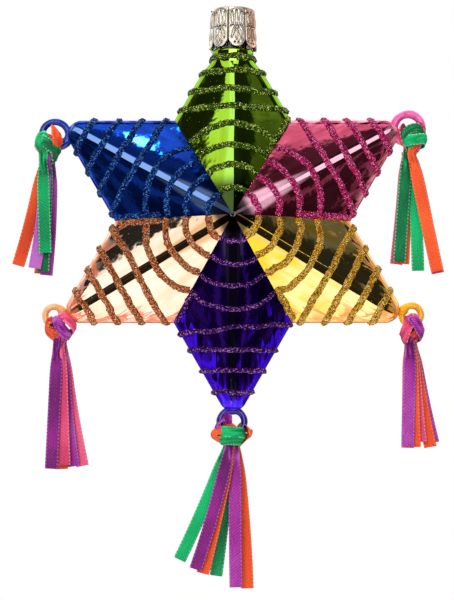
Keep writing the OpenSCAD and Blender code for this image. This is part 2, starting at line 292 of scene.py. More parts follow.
STAR_R = 48.5  # where the edges of an arm would meet
TIP_R = 45.3  # the blunt end of an arm
HUB_HALF = 14  # half the star's thickness at its centre
RIM_HALF = 2.2  # and along its edges
COAT = 0.15  # thickness of the lacquer
GLASS = 0.8
GLASS_LIFT = -0.01  # keeps the glass just under the lacquer's foot
COAT_GAP = 0.02  # left between the lacquer and the glass
HALF_ANGLE = math.radians(30)
COS_HALF = math.cos(HALF_ANGLE)
TAN_HALF = math.tan(HALF_ANGLE)
NOTCH_P = STAR_R / 2
NOTCH_Q = NOTCH_P * TAN_HALF
SLOPE = (HUB_HALF - RIM_HALF) / NOTCH_P
FACET_LEN = math.hypot(1, SLOPE)
RIDGE_ROUND = 2.6  # width over which a ridge is rounded
RIM_BAND = 2.1  # width of the rounded rim
TIP_ROUND = 1.6
CROWN = 0.14  # how far the middle of a facet stands out
RIPPLE = 0.05  # height of the slow waves in the blown glass
RIPPLE_SIZE = 13
NECK_START = 36  # where the top arm starts to turn into the neck
NECK_ROUND = 40.5
SHOULDER_R = 4.85
SHOULDER_TOP = 41.2
SHOULDER_STEP = 0.5  # over which the shoulder narrows to the neck
NECK_R = 4.6
NECK_TOP = 49.6
ARM_ANGLE = {"green": 90, "pink": 30, "gold": -30, "purple": -90, "rose": -150, "blue": 150}
HALF_COLUMNS = 30
CROWDING = 0.75  # how far the columns crowd towards the ridge and the edges
VALLEY_ROWS = 34
NOTCH_ROWS = 12
EDGE_ROWS = 34
TIP_ROWS = 8


def soft_min(a, b, width):
    near = max(0.0, 1 - abs(a - b) / width)
    return min(a, b) - near * near * width / 4


def depth(p, q, lift):
    """Half of the star's thickness at a place on an arm, with the surface moved out by lift."""
    inset = (STAR_R - p) / 2 + lift
    edge = soft_min(inset - q * COS_HALF, inset + q * COS_HALF, RIDGE_ROUND)
    if edge <= 0:
        return 0.0
    rim_r = RIM_HALF / (FACET_LEN - SLOPE) + lift
    if edge < rim_r * (1 - SLOPE / FACET_LEN):
        return math.sqrt(edge * (2 * rim_r - edge))
    across = abs(q) / NOTCH_Q
    along = (p - NOTCH_P * across) / STAR_R
    inside = max(0.0, 27 * across * along * (1 - across - along))  # 1 in the facet's middle
    wave = noise.noise(Vector((p, q, 7.3)) / RIPPLE_SIZE)
    swell = inside * CROWN + min(1.0, 3 * inside) * RIPPLE * wave
    return RIM_HALF + SLOPE * edge + lift * (FACET_LEN - SLOPE) + swell


def half_width(p, lift):
    """How far an arm reaches across its axis: to its valley, or further out to its edge."""
    return min(p * TAN_HALF, (STAR_R - p) * TAN_HALF + lift / COS_HALF)


def arm_place(arm, p, q, y):
    angle = math.radians(ARM_ANGLE[arm])
    x = p * math.cos(angle) - q * math.sin(angle)
    z = p * math.sin(angle) + q * math.cos(angle)
    return Vector((x, y, z))


def surface_point(arm, p, share, side, lift=COAT):
    """A place on an arm, at share -1 to 1 of its half width."""
    q = share * half_width(p, lift)
    y = depth(p, q, lift)
    if arm == "green":
        turn = share * math.pi / 2
        neck = ease(NECK_START, NECK_ROUND, p)
        narrowed = ease(SHOULDER_TOP, SHOULDER_TOP + SHOULDER_STEP, p)
        radius = lerp(SHOULDER_R, NECK_R, narrowed) + lift
        q = lerp(q, radius * math.sin(turn), neck)
        y = lerp(y, radius * math.cos(turn), neck)
    else:
        over = (p - (TIP_R + lift - TIP_ROUND)) / TIP_ROUND
        if over > 0:
            shrink = math.sqrt(max(0.0, 1 - over * over))
            q *= shrink
            y *= shrink
    return arm_place(arm, p, q, side * y)


def arm_rows(arm, lift, top):
    """Distances along an arm, closer together at the notch and at the tip."""
    notch = NOTCH_P + lift
    rows = [(notch - RIM_BAND) * i / VALLEY_ROWS for i in range(VALLEY_ROWS)]
    rows += [notch - RIM_BAND * math.cos(math.pi / 2 * i / NOTCH_ROWS) for i in range(NOTCH_ROWS)]
    if arm == "green":
        return rows + [lerp(notch, top, i / EDGE_ROWS) for i in range(EDGE_ROWS + 1)]
    blunt = TIP_R + lift - TIP_ROUND
    rows += [lerp(notch, blunt, i / EDGE_ROWS) for i in range(EDGE_ROWS)]
    rows += [blunt + TIP_ROUND * math.sin(math.pi / 2 * i / TIP_ROWS) for i in range(TIP_ROWS + 1)]
    return rows


def arm_columns():
    """Shares of the half width, closer together at the ridge and at the edges."""
    steps = [i / HALF_COLUMNS for i in range(1, HALF_COLUMNS + 1)]
    half = [s - CROWDING * math.sin(2 * math.pi * s) / (2 * math.pi) for s in steps]
    return [-s for s in reversed(half)] + [0.0] + half


def arm_surface(arm, lift, top, every=1):
    """Points and faces of both sides of an arm, open along its valleys."""
    rows = arm_rows(arm, lift, top)[::every]
    columns = arm_columns()[::every]
    sides = []
    for side in SIDES:
        points = [surface_point(arm, p, share, side, lift) for p in rows for share in columns]
        sides.append((points, grid_faces(len(rows), len(columns), flip=side == BACK)))
    return join(sides)


def make_lacquer(arm, material):
    piece = make_piece("coat_" + arm, *arm_surface(arm, COAT, SHOULDER_TOP), material)
    weld(piece)
    make_shell(piece, COAT - COAT_GAP)
    stand_for(piece, "star", "lacquer_" + arm)


def make_glass(material):
    """The blown star under the lacquer, with its neck open at the top."""
    surface = join(arm_surface(arm, GLASS_LIFT, NECK_TOP, every=2) for arm in ARM_ANGLE)
    piece = make_piece("glass_body", *surface, material)
    weld(piece)
    make_shell(piece, GLASS)
    stand_for(piece, "star", "glass_star")


# ---- Glitter ----

LINE_AT = (6.1, 11.4, 16.3, 21.5, 26, 31, 35.9, 40.9)  # where each line crosses the ridge
TOP_LINE_AT = (6.5, 12.1, 17.2, 22.2, 26.6, 31, 35.7, 39.2)  # on the top arm, up to the neck
LINE_BOW = (1, 2, 3, 4.2, 0, 0, 0, 0)  # how far its ends sag towards the hub
LINE_W = {"green": 1.6, "pink": 1.65, "gold": 1.7, "purple": 1.15, "rose": 1.7, "blue": 1.55}
LINE_H = 0.68
LEAN = 1.2  # how far the ends of the bottom arm's fifth line lie out of level
GRAIN = 0.26  # size of the glitter's grains
GRAIN_JUMP = 0.085  # how far each grain lies off the bead's even surface
SPIKE = 0.22  # how far a loose grain stands out
SPIKE_SHARE = 0.12
CROSS_CELLS = 8
WIDTH_WAVE = 0.22
HEIGHT_WAVE = 0.3
END_ROWS = 2.5  # over which an open bead's end is rounded
SINK = 0.12  # how deep a line's foot lies under the lacquer's surface
WOBBLE = 0.42  # how far a line wanders
SLANT = 0.5  # how far its ends lie out of level
STROKE_WOBBLE = 0.3
STROKE_INSET = 0.75  # from the valley
SHY = 0.97  # how far an open line reaches towards the arm's valleys
# A line of glue along a valley of each arm: which side of its axis, and from where to where
VALLEY_STROKES = {
    "green": (-1, 15, 25), "pink": (-1, 14, 24.5), "gold": (-1, 17, 24.5),
    "purple": (-1, 17, 24.5), "rose": (-1, 15, 24), "blue": (1, 15, 24),
}


def lines_of(arm):
    return TOP_LINE_AT if arm == "green" else LINE_AT


def line_point(arm, k, side, turn, shift):
    """A place on line k, where turn runs from -1 at one edge of the arm to 1 at the other."""
    share = math.sin(turn * math.pi / 2)
    seed = ARM_ANGLE[arm] / 7 + 3.1 * k + side
    wobble = WOBBLE * noise.noise(Vector((turn * 4, seed, 0.5)))
    slant = SLANT * noise.noise(Vector((seed, 1.7, 4.2))) * share
    if arm == "purple" and k == 4:
        slant -= LEAN * share
    p = lines_of(arm)[k] - LINE_BOW[k] * share * share + wobble * (1 - share ** 8) + slant + shift
    return surface_point(arm, p, share * (1 if p > NOTCH_P else SHY), side)


def stroke_point(arm, side, along, shift):
    """A place on the stroke beside a valley, where along runs from 0 to 1."""
    edge, start, stop = VALLEY_STROKES[arm]
    p = lerp(start, stop, along)
    wobble = STROKE_WOBBLE * noise.noise(Vector((along * 5, start, edge)))
    inside = 1 - (STROKE_INSET + wobble + shift) / max(1.0, half_width(p, COAT))
    return surface_point(arm, p, edge * inside, side)


def outward(point, along, across, side):
    """The surface's normal, on the side that faces away from the star's middle."""
    normal = along.cross(across).normalized()
    out = Vector((point.x / STAR_R, side * 0.6 + point.y / HUB_HALF, point.z / STAR_R))
    return normal if normal.dot(out) > 0 else -normal


def glitter_stations(place, start, stop, side):
    """Centre, across and outward directions along a line, and whether it is drawn backwards.

    place(at, shift) gives the line's points."""
    step = 0.002
    samples = [place(lerp(start, stop, i / 200), 0) for i in range(201)]
    length = sum((b - a).length for a, b in zip(samples, samples[1:]))
    count = max(4, round(length / GRAIN))
    stations = []
    for i in range(count + 1):
        at = lerp(start, stop, i / count)
        along = place(at + step, 0) - place(at - step, 0)
        across = place(at, 0.02) - place(at, -0.02)
        point = place(at, 0)
        normal = outward(point, along, across, side)
        stations.append((point, normal.cross(along).normalized(), normal, stop < start))
    return stations


def crust(stations, closed, width, rng):
    """Crusty half-round bead of glue and grains along the stations."""
    points = []
    rows = len(stations)
    for i, (centre, across, normal, backwards) in enumerate(stations):
        to_end = min(i, rows - 1 - i) + 0.15
        end = 1.0 if closed else math.sqrt(min(1.0, to_end / END_ROWS))
        half = width / 2 * end * (1 + WIDTH_WAVE * noise.noise(centre / 1.7))
        high = LINE_H * end * (1 + HEIGHT_WAVE * noise.noise(centre / 1.1 + UP * 9))
        ring = []
        for j in range(CROSS_CELLS + 1):
            turn = math.pi * j / CROSS_CELLS
            lift = high * math.sin(turn) - SINK
            jump = Vector([rng.uniform(-GRAIN_JUMP, GRAIN_JUMP) for _ in range(3)])
            if rng.random() < SPIKE_SHARE and 0 < j < CROSS_CELLS:
                jump += (across * math.cos(turn) + normal * math.sin(turn)) * rng.uniform(0, SPIKE)
            ring.append(centre + across * half * math.cos(turn) + normal * lift + jump)
        points += ring[::-1] if backwards else ring
    if closed:
        return points, grid_faces(rows, CROSS_CELLS + 1, True, True, flip=True)
    return points, tube_faces(rows, CROSS_CELLS + 1)


def arm_beads(arm):
    """Every bead on an arm, as its stations and whether it closes on itself."""
    beads = []
    for k, at in enumerate(lines_of(arm)):
        front, back = [
            glitter_stations(partial(line_point, arm, k, side), side, -side, side)
            for side in SIDES
        ]
        if at - LINE_BOW[k] > NOTCH_P:
            beads.append((front[:-1] + back[:-1], True))
        else:
            beads += [(front, False), (back, False)]
    for side in SIDES:
        beads.append((glitter_stations(partial(stroke_point, arm, side), 0, 1, side), False))
    return beads


def make_glitter(arm, material):
    rng = random.Random(100 + ARM_ANGLE[arm])
    surface = join(crust(*bead, LINE_W[arm], rng) for bead in arm_beads(arm))
    piece = make_piece("grains_" + arm, *surface, material, smooth=False)
    stand_for(piece, "star", "glitter_" + arm)


# ---- Cap ----

PETALS = 8
FIRST_PETAL = 33  # degrees from the right to the first gap between petals
CAP_TOP = 51.2  # above the star's centre
CAP_H = 9.7
CAP_TOP_R = 5.3
CAP_EDGE_R = 5.8
SHEET = 0.35
PLATE_DROP = 1
LIP_DROP = 0.22
SCALLOP = 2.1  # height of a petal's rounded end
STAMP_DEPTH = 0.26
STAMP_RISE = 0.14
PETAL_COLUMNS = 36
CAP_COLUMNS = PETALS * PETAL_COLUMNS
CAP_ROWS = 84
INSIDE_FROM_ROW = 17  # where the skirt's inside starts, under the plate
SLOT_FROM = 1.1
SLOT_TO = 1.7
SLOT_R = 0.52
SLOT_STEPS = 24
# Stamped leaves on a petal: middle across (-1 to 1) and down (0 to 1), how far it leans
# outwards for each unit down, and its half width and half height
LEAVES = (
    (0, 0.29, 0, 0.17, 0.18), (-0.5, 0.3, 0.3, 0.17, 0.16), (0.5, 0.3, -0.3, 0.17, 0.16),
    (0, 0.7, 0, 0.15, 0.13), (-0.4, 0.66, -1.3, 0.15, 0.12), (0.4, 0.66, 1.3, 0.15, 0.12),
)
DOTS = ((-0.2, 0.9), (0.2, 0.9), (-0.68, 0.49), (0.68, 0.49))


def petal_stamp(u, v):
    """The stamped pattern at u across a petal and v down it: how deep, and how far raised."""
    deep = bump(1 - abs(u), 0.1) * ease(0.02, 0.12, v)
    deep = max(deep, bump(v - 0.485, 0.016) * (1 - ease(0.3, 0.42, abs(u))))
    deep = max(deep, 0.7 * bump(math.hypot(u / 0.86, (v - 0.2) / 0.15) - 1, 0.09) * (v < 0.2))
    raised = 0.0
    for across, down, lean, half_u, half_v in LEAVES:
        reach = math.hypot((u - across - lean * (v - down)) / half_u, (v - down) / half_v)
        deep = max(deep, bump(reach - 1.1, 0.15))
        raised = max(raised, 1 - reach * reach)
    for across, down in DOTS:
        deep = max(deep, bump(math.hypot((u - across) * 2.2, (v - down) * CAP_H), 0.28))
    return deep, raised


def cap_skirt_point(column, row, inner):
    """A point of the skirt, and how deep the stamp is there."""
    shift = FIRST_PETAL / 360 * CAP_COLUMNS
    u = ((column - shift) % PETAL_COLUMNS) / PETAL_COLUMNS * 2 - 1
    drop = lerp(LIP_DROP, CAP_H - SCALLOP * abs(u) ** 2.8, row / CAP_ROWS)
    radius = lerp(CAP_TOP_R, CAP_EDGE_R, drop / CAP_H)
    if inner:
        return cap_point(column, radius - SHEET - 0.1, drop), 0.0
    deep, raised = petal_stamp(u, drop / CAP_H)
    return cap_point(column, radius - STAMP_DEPTH * deep + STAMP_RISE * raised, drop), deep


def cap_point(column, radius, drop):
    turn = 2 * math.pi * column / CAP_COLUMNS
    return Vector((radius * math.cos(turn), radius * math.sin(turn), CAP_TOP - drop))


def cap_rings():
    """Rings of points, and how deep the stamp is at each, from the plate's underside round the
    skirt's edge to the plate's upper side."""
    columns = range(CAP_COLUMNS)
    inner_r = CAP_TOP_R - SHEET
    plate_under = PLATE_DROP + SHEET
    under = [(0.02, plate_under), (2.2, plate_under), (inner_r - 0.5, plate_under)]
    lip = [(CAP_TOP_R - 0.02, 0.12), (CAP_TOP_R - 0.1, 0.03), (CAP_TOP_R - 0.25, 0.02)]
    lip += [(inner_r - 0.02, 0.12), (inner_r - 0.08, 0.4), (inner_r - 0.14, PLATE_DROP - 0.15)]
    lip += [(inner_r - 0.3, PLATE_DROP), (3.6, PLATE_DROP - 0.04), (3.3, PLATE_DROP - 0.12)]
    lip += [(3, PLATE_DROP), (2.2, PLATE_DROP), (0.02, PLATE_DROP)]
    rings = [[(cap_point(c, r, d), 0.0) for c in columns] for r, d in under]
    for row in range(INSIDE_FROM_ROW, CAP_ROWS + 1):
        rings.append([cap_skirt_point(c, row, True) for c in columns])
    for row in range(CAP_ROWS, -1, -1):
        rings.append([cap_skirt_point(c, row, False) for c in columns])
    return rings + [[(cap_point(c, r, d), 0.0) for c in columns] for r, d in lip]


def make_cap(material):
    """Stamped cap with a dished top, eight petals, and slots for the wire."""
    rings = cap_rings()
    points = [point for ring in rings for point, _ in ring]
    piece = make_piece("stamped_cap", points, tube_faces(len(rings), CAP_COLUMNS), material)
    depths = piece.data.attributes.new("stamp", "FLOAT", "POINT")
    depths.data.foreach_set("value", [deep for ring in rings for _, deep in ring])
    cut_slots(piece, material)
    stand_for(piece, "cap", "cap")


def cut_slots(piece, material):
    """Cuts the two slots that the wire's legs go through."""
    outline = []
    for turn in turns(SLOT_STEPS):
        centre = SLOT_TO if math.cos(turn) > 0 else SLOT_FROM
        outline.append((centre + SLOT_R * math.cos(turn), SLOT_R * math.sin(turn)))
    walls = []
    for mirror in (1, -1):
        points = []
        for drop in (PLATE_DROP - 0.5, PLATE_DROP + SHEET + 0.5):
            points += [Vector((mirror * x, y, CAP_TOP - drop)) for x, y in outline]
        walls.append((points, tube_faces(2, SLOT_STEPS, flip=mirror == -1)))
    cutter = make_piece("slot_cutter", *join(walls), material)
    weld(cutter)
    cut = piece.modifiers.new("slots", "BOOLEAN")
    cut.operation = "DIFFERENCE"
    cut.object = cutter
    apply_modifiers(piece)
    bpy.data.objects.remove(cutter)


# ---- Rings ----

# Each ring: its centre in X and Z, outer diameter and rod diameter
RINGS = {
    "pink": (42.1, 22.5, 8.8, 2.0),
    "gold": (42.6, -22.5, 6.2, 1.7),
    "purple": (-0.2, -47.9, 7.4, 1.7),
    "rose": (-42.6, -22.7, 6.0, 1.6),
    "blue": (-42.7, 21.0, 8.0, 1.7),
}
RING_STEPS = 96
ROD_STEPS = 28
ROD_SHARE = 0.97  # of the rod's diameter, away from the arm
MELTED = 0.38  # how much thicker the rod is where it was melted on
UNEVEN = 0.06
OUT_OF_ROUND = 0.02


def rod_radius(arm):
    return RINGS[arm][3] / 2


def ring_radius(arm):
    return RINGS[arm][2] / 2 - rod_radius(arm)


def make_ring(arm, material):
    """Bent glass rod, thicker where it was melted on to the arm's end."""
    x, z, _, _ = RINGS[arm]
    melt = math.radians(ARM_ANGLE[arm] + 180)
    points = []
    for turn in turns(RING_STEPS):
        away = (turn - melt + math.pi) % (2 * math.pi) - math.pi
        uneven = UNEVEN * noise.noise(Vector((math.cos(turn), math.sin(turn), x)) * 1.4)
        rod = rod_radius(arm) * (ROD_SHARE + uneven + MELTED * bump(away, 0.42))
        middle = ring_radius(arm) * (1 + OUT_OF_ROUND * math.cos(2 * turn + x))
        out = Vector((math.cos(turn), 0, math.sin(turn)))
        centre = Vector((x, 0, z)) + out * middle
        for round_rod in turns(ROD_STEPS):
            side = Vector((0, math.sin(round_rod), 0))
            points.append(centre + (out * math.cos(round_rod) + side) * rod)
    faces = grid_faces(RING_STEPS, ROD_STEPS, True, True, flip=True)
    piece = make_piece("loop_" + arm, points, faces, material)
    stand_for(piece, "star", "ring_" + arm)


# ---- Ribbons ----

RIBBON_W = 3
RIBBON_T = 0.14
RIBBON_STEP = 0.3
RIBBON_CELLS = 10
FOLD = 0.32  # how deep the folds in a knot are
CREASE = 0.8  # how much darker and lighter the folds are painted: painted shade in their hollows, painted light on their crests
# How much darker the knot is painted, as painted shade
KNOT_SHADE = 0.1
CRUMPLE = 0.2
LAYERS = 6
LAYER_PITCH = 0.6
PIVOTS = {
    "pink": (42.7, 15.5), "gold": (42.3, -29.7), "purple": (-0.4, -54.2),
    "rose": (-41.4, -30.2), "blue": (-44.8, 13.7),
}
# Middle of each knot in X and Z, and its half sizes in X, Y and Z
KNOTS = {
    "pink": ((43.4, 20.2), (2.7, 2.2, 3.1)),
    "gold": ((42.6, -25.9), (2.7, 2.0, 3.4)),
    "purple": ((-0.2, -51.2), (3.2, 2.1, 2.6)),
    "rose": ((-41.5, -25.8), (2.7, 2.0, 3.3)),
    "blue": ((-44.1, 18.3), (3.0, 2.1, 3.2)),
}
# The two hanging ends of each ribbon: sideways place at the knot, half way and at the end,
# the drop, and the layer from 0 at the front to 5 at the back
ENDS = {
    "blue_green": ((-0.7, -0.4, 0.1, 21.5, 0), (0.4, -0.2, -0.6, 25.8, 2)),
    "blue_purple": ((0, -0.8, -2.5, 25.1, 1), (1, 0.9, 0.1, 26.6, 4)),
    "blue_orange": ((-0.8, -3.4, -6.6, 24.3, 3), (0.2, -0.3, -1.4, 26.2, 5)),
    "pink_green": ((-0.9, -1.9, -2.9, 25.3, 2), (0.3, 1.2, 1.6, 27.4, 3)),
    "pink_orange": ((0.4, 3.2, 6, 27.7, 0), (-0.7, -1.2, -1.9, 25.7, 4)),
    "pink_pink": ((0.6, 3.4, 6.2, 28.1, 1), (-1, -2.1, -3.5, 25.7, 5)),
    "rose_purple": ((-0.4, -0.9, -1.6, 28.8, 0), (0.6, 1.8, 3.5, 28.3, 3)),
    "rose_orange": ((0.1, 0.3, 0.8, 28.9, 2), (-0.2, -0.4, -0.7, 28.1, 5)),
    "rose_pink": ((0.3, 0.9, 1.4, 28, 1), (0.8, 2.9, 5.6, 28.2, 4)),
    "gold_purple": ((-0.2, -0.5, -1, 24, 0), (0.7, 2.8, 5.3, 23.2, 4)),
    "gold_orange": ((0.1, 0.4, 0.7, 24.2, 1), (0.5, 2.4, 4.6, 24.2, 3)),
    "gold_pink": ((0.3, 1.2, 2.2, 23, 2), (-0.2, -0.4, -0.7, 24.4, 5)),
    "purple_green": ((-1, -6.2, -12.2, 26.2, 3), (-0.2, -1.7, -3.6, 30, 4)),
    "purple_purple": ((-0.5, -4, -8.4, 28.3, 0), (0.9, 0.9, 1.1, 32.6, 2)),
    "purple_orange": ((-0.3, -3.2, -6.7, 29.3, 1), (1.2, 2.9, 3.8, 33, 5)),
}
# How each ribbon goes through its knot, from its first end to its second. Three numbers are an
# angle round the knot, 0 in front and 90 on the right, a height and a reach, both in shares of
# the knot's half sizes. Two are an angle over the ring's rod, 0 in front and 180 behind, and a
# place along it in millimetres.
ROUTES = {
    "blue_green": (
        (-25, -0.5, 1.25), (-38, 0.15, 1.4), (-36, 0.8, 1.4), (30, -1.7), (110, -1.3),
        (190, -0.8), (-140, 0.5, 1), (-80, 0.6, 1.1), (-30, 0.4, 1.3), (0, 0, 1.45),
        (28, -0.5, 1.4), (50, -0.9, 1.1), (120, -0.9, 0.9),
    ),
    "blue_purple": (
        (0, -0.7, 0.5), (15, 0.2, 0.95), (10, 0.2), (90, 0.3), (190, 0.3), (170, -0.2, 0.7),
        (150, -0.8, 0.6),
    ),
    "blue_orange": (
        (-100, -0.7, 0.8), (-90, 0.1, 1.2), (-60, 0.7, 0.9), (50, 1), (130, 1.4), (200, 1.8),
        (80, 1.25, 1.2), (40, 1, 1.5), (32, 0.45, 1.5), (38, -0.1, 1.3), (65, -0.5, 1),
        (110, -0.8, 0.8),
    ),
    "pink_green": (
        (-40, -0.6, 0.95), (-55, 0, 1.2), (-25, 0.55, 1.25), (20, 0.7, 1.25), (70, 0.35, 1.2),
        (150, 0.3, 0.9), (190, 0), (100, 0), (20, -0.3), (-40, 0.5, 0.9), (-110, 0.1, 0.9),
        (-65, -0.35, 1.15), (-10, -0.3, 1.35), (45, -0.2, 1.4), (95, -0.45, 1.15),
        (160, -0.7, 0.8),
    ),
    "pink_orange": (
        (20, -0.6, 0.8), (25, 0, 0.7), (10, 0.8), (100, 0.8), (190, 0.5), (170, -0.2, 0.7),
        (-170, -0.7, 0.6),
    ),
    "pink_pink": (
        (60, -0.6, 0.8), (80, 0.2, 1.1), (60, 0.95, 1.5), (40, 2.2), (120, 1.6), (200, 0),
        (-120, 0.8, 1.4), (-85, 0.4, 1.5), (-78, -0.3, 1.35), (-110, -0.8, 0.9),
    ),
    "rose_purple": (
        (0, -0.5, 0.6), (180, 0, 0.4), (180, 0.6, 0.7), (190, -0.2), (100, -0.1), (10, 0),
        (-5, 0.6, 1.15), (12, 0.05, 1.3), (38, -0.4, 1.3), (85, -0.5, 1.15), (150, -0.7, 0.8),
    ),
    "rose_orange": (
        (-30, -0.6, 0.8), (-62, -0.1, 1.25), (-52, 0.65, 1.35), (30, -1), (110, -0.8),
        (190, -0.5), (180, -0.2, 0.6), (180, -0.7, 0.5),
    ),
    "rose_pink": (
        (25, -0.6, 0.7), (0, 0, 0.6), (180, 0.6, 0.5), (190, 0.9), (100, 0.9), (20, 1),
        (28, 0.85, 1.45), (52, 0.4, 1.65), (75, 0, 1.6), (110, -0.35, 1.1), (150, -0.7, 0.7),
    ),
    "gold_purple": (
        (-10, -0.6, 0.7), (180, 0, 0.4), (180, 0.6, 0.7), (190, 0.3), (100, 0.3), (10, 0.4),
        (2, 0.8, 1.4), (20, 0.25, 1.5), (45, -0.35, 1.35), (100, -0.6, 1), (170, -0.75, 0.7),
    ),
    "gold_orange": (
        (20, -0.6, 0.6), (60, 0, 1), (10, 0.8, 1.1), (20, -0.6), (100, 0.7), (190, 0.9),
        (160, -0.2, 0.8), (150, -0.75, 0.6),
    ),
    "gold_pink": (
        (-65, -0.85, 1), (-38, -0.6, 1.5), (-26, -0.1, 1.4), (-16, 0.45, 1.2), (-25, 0.9, 1),
        (30, -1), (110, -0.9), (190, -0.6), (-160, -0.2, 0.8), (-170, -0.75, 0.6),
    ),
    "purple_green": (
        (-30, -0.6, 0.7), (0, 0.1, 0.8), (20, 0), (100, 0), (190, 0), (180, 0.3, 0.9),
        (-110, 0.35, 1), (-50, 0.4, 1.15), (0, 0.35, 1.3), (50, 0.25, 1.15), (110, 0, 1),
        (180, -0.2, 0.9), (-110, -0.35, 0.95), (-50, -0.4, 1.1), (0, -0.35, 1.3), (50, -0.5, 1.1),
        (130, -0.7, 0.8),
    ),
    "purple_purple": (
        (-15, -0.6, 0.7), (-50, 0.1, 0.9), (-78, 0.8, 1.6), (-70, 1.45, 2.1), (-40, 1.75, 1.4),
        (60, -1), (120, -0.8), (190, 0), (150, -0.1, 0.8), (130, -0.7, 0.7),
    ),
    "purple_orange": (
        (-60, -0.6, 0.8), (-78, -0.1, 1.5), (-68, 0.35, 1.5), (-30, 0.8, 0.9), (20, 0.9),
        (100, 0.9), (190, 0.9), (110, 0.8, 1.2), (70, 0.4, 1.6), (82, 0, 1.35), (130, -0.7, 0.8),
    ),
}
# How much lighter or darker the first and the second end of some ribbons are painted: painted light
# and shade, as if one end catches more light than the other
END_LIGHT_AND_SHADE = {
    "blue_green": (0, -0.25), "blue_purple": (0.25, 0), "pink_green": (-0.22, 0.15),
    "rose_purple": (-0.14, 0.02), "gold_purple": (0, -0.03), "purple_green": (0.12, -0.1),
    "purple_purple": (-0.2, 0.02), "rose_pink": (0, 0.15), "purple_orange": (-0.05, 0.12),
    "pink_orange": (0.1, 0.15),
}
END_STATIONS = 11
END_START = 0.06  # of its drop, where the first of them lies
END_STEP = 0.094
CURVE_STEPS = 24  # between two stations
NEAR = 0.02  # of a station's distance, over which a ribbon's direction is taken


def hanging_stations(tassel, end, rng, facing):
    """Stations from the knot's foot to the free end: place, outward way, width and curl."""
    at_knot, half_way, at_end, drop, layer = end
    pivot_x, pivot_z = PIVOTS[tassel]
    layer_y = (layer - (LAYERS - 1) / 2) * LAYER_PITCH
    bend = 2 * (at_knot + at_end - 2 * half_way)
    lean = at_end - at_knot - bend
    twist = rng.uniform(-0.3, 0.3)
    sway = rng.uniform(-0.1, 0.1)
    stations = []
    for i in range(-1, END_STATIONS):
        share = END_START + END_STEP * i
        x = pivot_x + at_knot + lean * share + bend * share * share
        wave = (0.45 * math.sin(share * 5 + pivot_x) + sway * math.sin(share * 9)) * max(0, share)
        y = layer_y * lerp(0.8, 1, ease(0, 0.3, share)) + wave
        turn = twist * math.sin(share * 3)
        normal = Vector((math.sin(turn), -math.cos(turn), 0)) * facing
        width = lerp(0.68, 1, ease(-0.04, 0.22, share))
        curl = facing * lerp(0.4, 0.1, ease(0, 0.4, share))
        stations.append((Vector((x, y, pivot_z - drop * share)), normal, width, curl))
    return stations


def knot_station(tassel, turn, height, reach):
    """Round the outside of the knot."""
    (x, z), (half_x, half_y, half_z) = KNOTS[tassel]
    angle = math.radians(turn)
    shrink = math.sqrt(max(0.15, 1 - 0.55 * min(1.2, abs(height)) ** 2)) * reach
    out = Vector((math.sin(angle), -math.cos(angle), 0))
    place = Vector((x + half_x * shrink * out.x, half_y * shrink * out.y, z + half_z * height))
    normal = (out + UP * 0.5 * height).normalized()
    return place, normal, 0.88, 0.3


def rod_station(tassel, turn, along):
    """Over the lower part of the ring's rod."""
    x, z, _, _ = RINGS[tassel]
    angle = math.radians(turn)
    lift = ring_radius(tassel) - math.sqrt(ring_radius(tassel) ** 2 - min(1.9, abs(along)) ** 2)
    reach = rod_radius(tassel) + 0.3 + 0.12 * abs(along)
    out = Vector((0, -math.cos(angle), math.sin(angle)))
    place = Vector((x + along, 0, z - ring_radius(tassel) + lift)) + out * reach
    return place, out, 0.66, -0.25


def ribbon_stations(name, rng):
    """Stations along a whole ribbon, from the end of its first hanging end to its second's."""
    tassel = name.split("_")[0]
    first, second = ENDS[name]
    stations = hanging_stations(tassel, first, rng, 1)[::-1]
    for place in ROUTES[name]:
        make = knot_station if len(place) == 3 else rod_station
        stations.append(make(tassel, *place))
    facing = 1 if stations[-1][1].y < 0 else -1
    return stations + hanging_stations(tassel, second, rng, facing)


def curve_value(values, at):
    """Catmull-Rom curve through values, with at counted in values."""
    k = min(len(values) - 2, int(at))
    t = at - k
    a = values[max(0, k - 1)]
    b = values[k]
    c = values[k + 1]
    d = values[min(len(values) - 1, k + 2)]
    return b + 0.5 * t * ((c - a) + t * ((2 * a - 5 * b + 4 * c - d) + t * (3 * (b - c) + d - a)))


def ribbon_rows(stations):
    """Evenly spaced rows along the ribbon: centre, across, outward, width and curl."""
    places, normals, widths, curls = zip(*stations)
    last = len(places) - 1
    fine = [curve_value(places, i / CURVE_STEPS) for i in range(CURVE_STEPS * last + 1)]
    lengths = [0.0]
    for a, b in zip(fine, fine[1:]):
        lengths.append(lengths[-1] + (b - a).length)
    count = round(lengths[-1] / RIBBON_STEP)
    rows = []
    k = 0
    for i in range(count + 1):
        reach = lengths[-1] * i / count
        while k < len(lengths) - 2 and lengths[k + 1] < reach:
            k += 1
        beyond = (reach - lengths[k]) / max(1e-9, lengths[k + 1] - lengths[k])
        at = min((k + beyond) / CURVE_STEPS, last)
        near = max(at, 2 * NEAR)
        tangent = (curve_value(places, near) - curve_value(places, near - NEAR)).normalized()
        across = tangent.cross(curve_value(normals, at)).normalized()
        outward_way = across.cross(tangent)
        width = curve_value(widths, at)
        rows.append((curve_value(places, at), across, outward_way, width, curve_value(curls, at)))
    return rows, lengths[-1]


